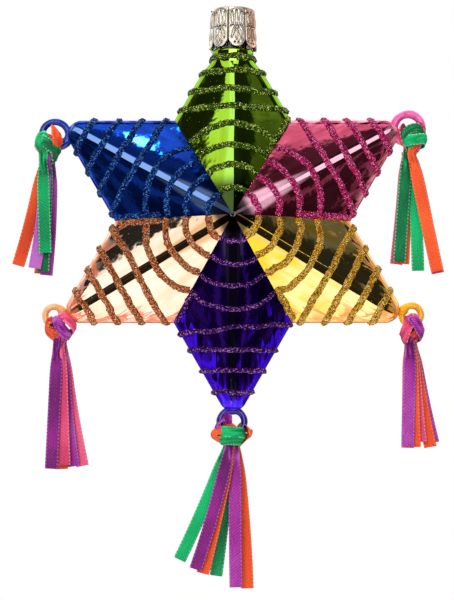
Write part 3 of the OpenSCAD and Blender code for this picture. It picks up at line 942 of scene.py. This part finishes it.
def ribbon_mesh(name, rows, material):
    """Closed strip with a shallow curl across it and folds in its knot, with painted light and
    shade: one end lighter than the other, painted shade in the folds' hollows, painted light on
    their crests, and a darker knot.
    """
    seed = sum(ord(letter) for letter in name)
    first, second = END_LIGHT_AND_SHADE.get(name, (0, 0))
    points = []
    painted_light_and_shade = []
    for i, (centre, across, normal, width, curl) in enumerate(rows):
        loose = 1 - ease(0.8, 0.97, width)
        crumple = noise.noise(centre / 1.6 + UP * seed) * CRUMPLE * loose
        # Painted light and shade: one end of the ribbon is painted lighter or darker than the
        # other.
        painted_end_light = lerp(first, second, ease(0.35, 0.65, i / len(rows)))
        face = []
        shade = []
        for j in range(RIBBON_CELLS + 1):
            v = 2 * j / RIBBON_CELLS - 1
            fold = loose * noise.noise(Vector((centre.x / 2 + v, v * 1.9, centre.z / 2.5 + seed)))
            offset = across * v * RIBBON_W / 2 * width
            face.append(centre + offset + normal * (crumple + FOLD * fold - curl * v * v))
            # Painted shade in the folds' hollows, painted light on their crests, and painted shade
            # over the whole knot.
            shade.append(painted_end_light + CREASE * fold - KNOT_SHADE * loose)
        points += [point + normal * RIBBON_T / 2 for point in face]
        points += [point - normal * RIBBON_T / 2 for point in reversed(face)]
        painted_light_and_shade += shade + shade[::-1]
    ring = 2 * (RIBBON_CELLS + 1)
    piece = make_piece("ribbon_" + name, points, tube_faces(len(rows), ring), material)
    write_strip_uv(piece.data, ring)
    piece.data.attributes.new("shade", "FLOAT", "POINT").data.foreach_set("value", painted_light_and_shade)
    return piece


def write_strip_uv(mesh, ring):
    """UVs with the millimetres along the ribbon, and the share of its width."""
    layer = mesh.uv_layers.new(name="strip")
    for polygon in mesh.polygons:
        for loop in polygon.loop_indices:
            row, column = divmod(mesh.loops[loop].vertex_index, ring)
            across = column if column <= RIBBON_CELLS else ring - 1 - column
            layer.data[loop].uv = (row * RIBBON_STEP, across / RIBBON_CELLS)


def make_ribbon(name, material):
    rng = random.Random(name)
    rows, length = ribbon_rows(ribbon_stations(name, rng))
    piece = ribbon_mesh(name, rows, material)
    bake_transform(piece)
    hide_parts(f"{name}_knot", f"{name}_ends")


# ---- Materials ----


def arm_place_node(shader, arm):
    """The place on an arm in millimetres: as one vector, along the arm, out of the star's middle
    plane, and across the arm."""
    centre = (0, 0, CENTRE_Z * MM)
    place = shader.node("VectorMath", {"operation": "SUBTRACT"}, n0=shader.place(), n1=centre)
    turned = shader.node(
        "Mapping", Vector=place.outputs[0], Rotation=(0, math.radians(ARM_ANGLE[arm]), 0),
        Scale=(1 / MM, 1 / MM, 1 / MM),
    ).outputs[0]
    return (turned, *shader.axes(turned))


def lacquer_material(arm, light, dark, ridge, rim):
    """Clear coloured lacquer over a mirror.

    It is brushed on in streaks, with stray specks of glitter on it. Painted light and shade are
    laid on it: a painted reflection in a strip along the ridge, where the lacquer is also thinner;
    painted light along the rim, standing in for light getting in where the mirror behind it is
    thin, which is left less metallic there; wavy painted reflections along the rim; and painted
    shade round the hub."""
    shader = Shader(
        "lacquer_" + arm, Coat_Weight=0.2, Coat_Roughness=0.02, Specular_Tint=(*light, 1),
    )
    local, along, out, across = arm_place_node(shader, arm)

    brushed = shader.times(shader.noise(local, (0.06, 0.3, 0.5), 3), 0.6)
    clouds = shader.times(shader.noise(local, 0.12), 0.4)
    tone = shader.plus(brushed, clouds, shader.smooth(along, 6, 34, -0.1, 0.07))
    tint = shader.ramp(tone, (0.38, dark), (0.6, light))

    # Painted reflection: a strip along the ridge, widest at the hub, in the ridge colour; the
    # lacquer is also thinner there.
    ridge_width = shader.smooth(along, 0, 26, 2.6, 0.75)
    off_ridge = shader.math("DIVIDE", shader.magnitude(across), ridge_width)
    thin_ridge_and_reflection = shader.smooth(off_ridge, 1.25, 0.75)
    tint = shader.mix(thin_ridge_and_reflection, tint, ridge)
    # Next to the hub the mirror is cleared along the ridge, so the painted ridge colour shows there
    # as a pale band.
    near_hub = shader.smooth(along, 24, 9, 0, CLEARED_RIDGE.get(arm, 0))
    cleared_ridge = shader.times(thin_ridge_and_reflection, near_hub, shader.smooth(along, 1.5, 5))

    # Painted light along the rim: the rim colour stands in for light let through where the mirror
    # is thin, and the mirror is left less metallic there.
    out = shader.magnitude(out)
    patchy = shader.smooth(shader.noise(local, (0.05, 0.5, 0.9)), 0.35, 0.65, 1.2, -0.6)
    depth = shader.plus(out, patchy)
    near_rim = shader.smooth(depth, RIM_DEPTH[arm], 1.4)
    tint = shader.mix(near_rim, tint, rim)

    # Painted reflections: wavy streaks of other colours along the rim, standing in for reflections
    # of the neighbouring arms and ribbons.
    reflection_tint, strength = RIM_REFLECTIONS[arm]
    waves = shader.times(shader.noise(local, (0.07, 0.25, 0.1)), 16)
    waves = shader.math("SINE", shader.plus(waves, shader.times(depth, 1.6)))
    reach = RIM_DEPTH[arm] + 0.7
    fade = shader.smooth(out, reach + 1.5, reach - 1.5)
    line = shader.times(shader.smooth(waves, 0.65, 0.97, 0, strength), fade)
    tint = shader.mix(line, tint, reflection_tint)

    # Painted shade: the lacquer is darkened round the hub, where the arms meet.
    hub_shade = shader.smooth(along, HUB_SHADE_REACH[arm] * 0.6, HUB_SHADE_REACH[arm], 0.12, 1)
    tint = shader.mix(1.0, tint, hub_shade, "MULTIPLY")

    cells = shader.node("TexVoronoi", Vector=local, Scale=1.6).outputs
    picked = shader.math("LESS_THAN", shader.red(cells["Color"]), 0.1)
    speck = shader.times(shader.smooth(cells["Distance"], 0.2, 0.12), picked)
    clear = shader.largest(shader.times(near_rim, 0.6), cleared_ridge, shader.times(line, 0.75))
    shader.set(
        Base_Color=shader.mix(shader.times(speck, 0.5), tint, light),
        Roughness=shader.plus(shader.times(speck, 0.35), 0.03),
        Metallic=shader.math("SUBTRACT", 1.0, clear),
    )
    shader.relief(shader.noise(local, 0.3), 0.06, 0.0004)
    return shader.material


def glitter_material(arm, light, middle, dark):
    """Grains of cut foil set in coloured glue."""
    shader = Shader("glitter_" + arm, Metallic=0.75, Roughness=0.24, Specular_IOR_Level=0.3)
    place = shader.place()
    grey = shader.red(shader.node("TexVoronoi", Vector=place, Scale=4200).outputs["Color"])
    # The lightest cells are painted sparkle, partly lighter foil; the others are a random spread of
    # foil tones.
    tint = shader.ramp(grey, (0.25, dark), (0.42, middle), (0.78, middle), (0.87, light))
    glue = shader.times(shader.noise(place, 700), 0.25)
    shader.set(Base_Color=shader.mix(glue, tint, middle))
    tilt = shader.node("TexVoronoi", Vector=place, Scale=5200).outputs["Distance"]
    shader.relief(tilt, 0.9, 0.0002)
    return shader.material


def ring_material(arm, light, dark):
    """Coloured glass rod with swirls of its tint."""
    shader = Shader(
        "ring_" + arm, Roughness=0.06, Coat_Weight=0.4, Coat_Roughness=0.03, IOR=1.5,
    )
    place = shader.place()
    swirl = shader.noise(place, (300, 900, 300), 3, 0.6)
    shader.set(Base_Color=shader.ramp(swirl, (0.35, dark), (0.65, light)))
    shader.relief(shader.noise(place, 500, 1), 0.1, 0.0003)
    return shader.material


TWILL_ALONG = 1.45  # ridges of the satin's twill for each millimetre along a ribbon
TWILL_ACROSS = 3.2  # and over its whole width
STITCHES = 1.15  # for each millimetre


def ribbon_material(tint, light, middle, dark, stitch):
    """Satin: a diagonal twill, threads along its length and a stitched edge."""
    shader = Shader("satin_" + tint, Roughness=0.38, Specular_IOR_Level=0.25)
    strip = shader.node("UVMap", {"uv_map": "strip"}).outputs[0]
    along, across, _ = shader.axes(strip)
    wander = shader.times(shader.noise(shader.place(), 900), 0.5)
    slant = shader.plus(
        shader.times(along, TWILL_ALONG), shader.times(across, TWILL_ACROSS), wander,
    )
    twill = shader.math("SINE", shader.times(slant, 2 * math.pi))
    threads = shader.times(shader.noise(strip, (0.4, 22, 1)), 0.35)
    slow = shader.times(shader.noise(shader.place(), 85, 1), 0.65)
    # The mesh's painted light and shade: lighter and darker ends, folds and knot.
    shade = shader.node("Attribute", {"attribute_name": "shade"}).outputs["Fac"]
    tone = shader.plus(shader.times(twill, 0.055), threads, shade, slow)
    body = shader.ramp(tone, (0.25, dark), (0.5, middle), (0.75, light))
    edge = shader.smooth(shader.magnitude(shader.math("SUBTRACT", across, 0.5)), 0.38, 0.43)
    dashes = shader.math("SINE", shader.times(along, 2 * math.pi * STITCHES))
    seam = shader.times(edge, shader.smooth(dashes, 0, 0.4, 0.1, 0.6))
    shader.set(Base_Color=shader.mix(seam, body, stitch))
    shader.relief(shader.plus(twill, shader.times(edge, 1.5)), 0.3, 0.0001)
    return shader.material


def cap_material():
    """Plated sheet, with dark lacquer in the stamped lines and a coppery colour over its right
    side.
    """
    shader = Shader("stamped_metal", Metallic=0.85)
    place = shader.place()
    tarnish = shader.noise(place, 420, 4, 0.65)
    bright = shader.ramp(tarnish, (0.3, (0.95, 0.82, 0.64)), (0.6, (1.0, 0.94, 0.82)))
    right = shader.axes(place)["X"]
    # Coppery colour laid over the right side of the cap.
    copper = shader.times(shader.smooth(right, 0.0022, 0.0044), 0.75)
    plated = shader.mix(copper, bright, (0.75, 0.38, 0.22))
    stamp = shader.node("Attribute", {"attribute_name": "stamp"}).outputs["Fac"]
    shader.set(
        Base_Color=shader.mix(shader.smooth(stamp, 0.3, 0.8), plated, (0.14, 0.075, 0.045)),
        Roughness=shader.ramp(tarnish, (0.3, 0.38), (0.7, 0.24)),
    )
    shader.relief(shader.noise(place, 1500), 0.15, 0.0001)
    return shader.material


def glass_material():
    shader = Shader("clear_glass", Roughness=0.02, IOR=1.5, Transmission_Weight=1)
    seeds = shader.noise(shader.place(), 300)
    shader.set(Base_Color=shader.ramp(seeds, (0.3, (0.9, 0.94, 0.92)), (0.7, (0.98, 0.99, 0.98))))
    return shader.material


def silver_material():
    shader = Shader("silver_mirror", Metallic=1)
    film = shader.noise(shader.place(), 180, 3)
    shader.set(
        Base_Color=shader.ramp(film, (0.3, (0.8, 0.8, 0.78)), (0.7, (0.95, 0.95, 0.95))),
        Roughness=shader.ramp(film, (0.3, 0.12), (0.7, 0.04)),
    )
    return shader.material


def wire_material():
    shader = Shader("spring_steel", Metallic=1)
    drawn = shader.noise(shader.place(), (2500, 2500, 120), 3)
    shader.set(
        Base_Color=shader.ramp(drawn, (0.3, (0.5, 0.47, 0.43)), (0.7, (0.78, 0.75, 0.7))),
        Roughness=shader.ramp(drawn, (0.3, 0.38), (0.7, 0.22)),
    )
    return shader.material


# Each arm's lacquer where it is thin, where it is thick, the painted reflection along its ridge and
# the painted light along its rim
LACQUER = {
    "green": ((0.34, 0.66, 0.03), (0.28, 0.46, 0.008), (0.42, 0.78, 0.1), (0.22, 0.34, 0.03)),
    "pink": ((0.8, 0.12, 0.23), (0.5, 0.05, 0.11), (0.95, 0.5, 0.64), (0.95, 0.35, 0.45)),
    "gold": ((1.0, 0.84, 0.36), (0.97, 0.6, 0.03), (0.85, 0.55, 0.1), (0.95, 0.4, 0.1)),
    "purple": ((0.07, 0.004, 0.42), (0.03, 0.001, 0.17), (0.14, 0.1, 0.3), (0.08, 0.008, 1.0)),
    "rose": ((1.0, 0.82, 0.66), (0.97, 0.64, 0.42), (0.75, 0.42, 0.2), (0.9, 0.24, 0.1)),
    "blue": ((0.003, 0.065, 0.6), (0.001, 0.03, 0.28), (0.2, 0.35, 0.75), (0.006, 0.08, 0.55)),
}
# The wavy painted reflections that run along each rim, standing in for the neighbouring arms and
# ribbons, and how strong they are
RIM_REFLECTIONS = {
    "green": ((0.3, 0.5, 0.04), 0.25), "pink": ((0.85, 0.1, 0.36), 0.45),
    "gold": ((0.95, 0.24, 0.03), 0.75), "purple": ((0.06, 0.006, 1.0), 0.9),
    "rose": ((0.9, 0.1, 0.03), 0.8), "blue": ((0.003, 0.12, 0.5), 0.35),
}
# How far from the hub the painted shade reaches, in millimetres
HUB_SHADE_REACH = {"green": 10.5, "pink": 5.5, "gold": 6, "purple": 5, "rose": 5, "blue": 7.5}
# How clear the mirror is along the ridge next to the hub, on the arms where the painted ridge
# colour shows there as a pale band
CLEARED_RIDGE = {"pink": 0.75, "blue": 0.12}
# Half the star's thickness, in millimetres, up to which the rim's painted light reaches
RIM_DEPTH = {"green": 1.8, "pink": 3.3, "gold": 3.8, "purple": 4.8, "rose": 3.6, "blue": 2.6}
# Each arm's glitter: its lightest grains, which are partly painted sparkle, its middle tone and its
# darkest grains
GLITTER = {
    "green": ((0.85, 1.0, 0.22), (0.075, 0.15, 0.006), (0.006, 0.022, 0.001)),
    "pink": ((1.0, 0.45, 0.75), (0.75, 0.02, 0.2), (0.12, 0.002, 0.03)),
    "gold": ((1.0, 0.9, 0.4), (0.85, 0.43, 0.015), (0.16, 0.06, 0.002)),
    "purple": ((0.8, 0.3, 1.0), (0.075, 0.006, 0.14), (0.01, 0.001, 0.025)),
    "rose": ((1.0, 0.68, 0.42), (0.66, 0.18, 0.045), (0.13, 0.025, 0.006)),
    "blue": ((0.12, 0.42, 1.0), (0.003, 0.035, 0.24), (0.001, 0.007, 0.05)),
}
RING_GLASS = {
    "pink": ((0.95, 0.2, 0.5), (0.68, 0.05, 0.28)),
    "gold": ((1.0, 0.5, 0.003), (0.8, 0.28, 0.001)),
    "purple": ((0.035, 0.003, 0.35), (0.006, 0.001, 0.1)),
    "rose": ((0.95, 0.52, 0.24), (0.75, 0.3, 0.09)),
    "blue": ((0.003, 0.045, 0.42), (0.001, 0.01, 0.15)),
}
SATIN = {
    "green": ((0.003, 0.52, 0.16), (0.003, 0.29, 0.09), (0.003, 0.1, 0.035), (0.3, 0.78, 0.45)),
    "purple": ((0.48, 0.14, 0.52), (0.36, 0.02, 0.3), (0.12, 0.006, 0.11), (0.5, 0.2, 0.55)),
    "orange": ((0.95, 0.12, 0.025), (0.78, 0.075, 0.018), (0.5, 0.04, 0.01), (0.98, 0.3, 0.14)),
    "pink": ((0.85, 0.13, 0.24), (0.68, 0.06, 0.16), (0.42, 0.02, 0.08), (0.95, 0.35, 0.45)),
}


# ---- Light and floor ----

WHITE = (1, 1, 1)
# Softboxes far away: middle azimuth (0 in front, 90 on the right) and elevation in degrees,
# half width, half height, brightness, width of the soft edge, and how far it leans to the
# right for each degree up
SOFTBOXES = (
    (0, 80, 50, 17.4, 0.9, 1.2, 0),
    (-32, 55, 30, 10, 0.2, 3, 0),
    (32, 55, 30, 10, 0.06, 3, 0),
    (-6.6, 62.2, 2.2, 0.6, 34, 0.5, 0),
    (-29.5, 27, 25.5, 14, 1.2, 1, 0.9),
    (19, 18.5, 17, 8, 1.25, 2, 0),
    (0, 5, 20, 6, 2.9, 3, 0),
    (57, 37, 5, 3.8, 0.13, 1.5, 0),
    (57, 31.2, 5, 1.8, 0.1, 1.2, 0),
    (-62, -14, 30, 14, 0.05, 6, 0),
    (62, -14, 30, 14, 0.02, 6, 0),
    (-47.5, -16, 0.5, 10, 0.2, 0.5, -0.4),
    (-52, -14, 0.3, 12, 0.15, 0.4, -0.4),
    (48, -14, 0.3, 12, 0.2, 0.5, 0.4),
    (52.5, -16, 0.5, 10, 0.15, 0.5, 0.4),
    (-112, 20, 16, 36, 0.9, 8, 0),
    (112, 20, 16, 36, 0.9, 8, 0),
    (180, 40, 50, 25, 1.1, 8, 0),
)
AMBIENT = 0.02
FILL = 0.55


def world_panel(shader, azimuth, elevation, panel):
    """Brightness of one softbox in a direction."""
    middle, height, half_w, half_h, strength, soft, lean = panel
    rise = shader.math("SUBTRACT", elevation, math.radians(height))
    off = shader.math("SUBTRACT", azimuth, math.radians(middle))
    off = shader.magnitude(shader.math("SUBTRACT", off, shader.times(rise, lean)))
    off = shader.math("MINIMUM", off, shader.math("SUBTRACT", 2 * math.pi, off))
    inside = strength
    for value, half in ((off, half_w), (shader.magnitude(rise), half_h)):
        edge = shader.smooth(value, math.radians(half + soft), math.radians(half))
        inside = shader.times(inside, edge)
    return inside


class WorldShader(Shader):
    def __init__(self, world):
        world.use_nodes = True
        self.tree = world.node_tree
        self.tree.nodes.clear()


def make_world():
    """White to the camera, softboxes in the reflections, an even fill on matt surfaces."""
    world = bpy.data.worlds.new("studio")
    bpy.context.scene.world = world
    shader = WorldShader(world)
    right, back, up = shader.axes(shader.node("TexCoord").outputs["Generated"])
    azimuth = shader.math("ARCTAN2", right, shader.times(back, -1.0))
    elevation = shader.math("ARCSINE", up)
    panels = [world_panel(shader, azimuth, elevation, panel) for panel in SOFTBOXES]
    path = shader.node("LightPath").outputs
    total = shader.mix(path["Is Diffuse Ray"], shader.plus(AMBIENT, *panels), (FILL, FILL, FILL))
    total = shader.mix(path["Is Camera Ray"], total, WHITE)
    shader.node("OutputWorld", Surface=shader.node("Background", Color=total).outputs[0])


LIGHT_AIM = (0, 0, -20)


def make_light(name, place, size, power):
    data = bpy.data.lights.new(name, "AREA")
    data.size = size
    data.energy = power
    light = bpy.data.objects.new(name, data)
    bpy.context.scene.collection.objects.link(light)
    light.location = place
    toward = to_frame(LIGHT_AIM) - light.location
    light.rotation_euler = toward.to_track_quat("-Z", "Y").to_euler()
    light.visible_glossy = False


FLOOR_DOWN = 420 + CENTRE_Z  # below the star's centre
FLOOR_R = 620
FLOOR_STEPS = 96


def make_floor():
    shader = Shader("studio_floor", Roughness=0.6)
    grain = shader.noise(shader.place(), 30, 3)
    shader.set(Base_Color=shader.ramp(grain, (0.3, (0.8, 0.8, 0.79)), (0.7, (0.84, 0.84, 0.83))))
    points = []
    for turn in turns(FLOOR_STEPS):
        points.append((FLOOR_R * math.cos(turn), FLOOR_R * math.sin(turn), -FLOOR_DOWN))
    floor = make_piece("studio_floor", points, [list(range(FLOOR_STEPS))], shader.material)


# ---- The whole scene ----


def main():
    scene = bpy.context.scene
    scene.view_settings.view_transform = "Standard"
    make_camera()
    for name in ENDS:
        tint = name.split("_")[1]
        if "satin_" + tint not in bpy.data.materials:
            ribbon_material(tint, *SATIN[tint])
        make_ribbon(name, bpy.data.materials["satin_" + tint])
    for arm in ARM_ANGLE:
        make_lacquer(arm, lacquer_material(arm, *LACQUER[arm]))
        make_glitter(arm, glitter_material(arm, *GLITTER[arm]))
    for arm in RINGS:
        make_ring(arm, ring_material(arm, *RING_GLASS[arm]))
    make_glass(glass_material())
    make_cap(cap_material())
    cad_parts["silver_lining"].material_slots[0].material = silver_material()
    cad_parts["hanging_wire"].material_slots[0].material = wire_material()
    make_world()
    make_floor()
    make_light("key", (-0.5, -0.9, 0.7), 0.4, 8)
    make_light("floor_light", (0, 0.1, 1.3), 1.0, 22)


main()
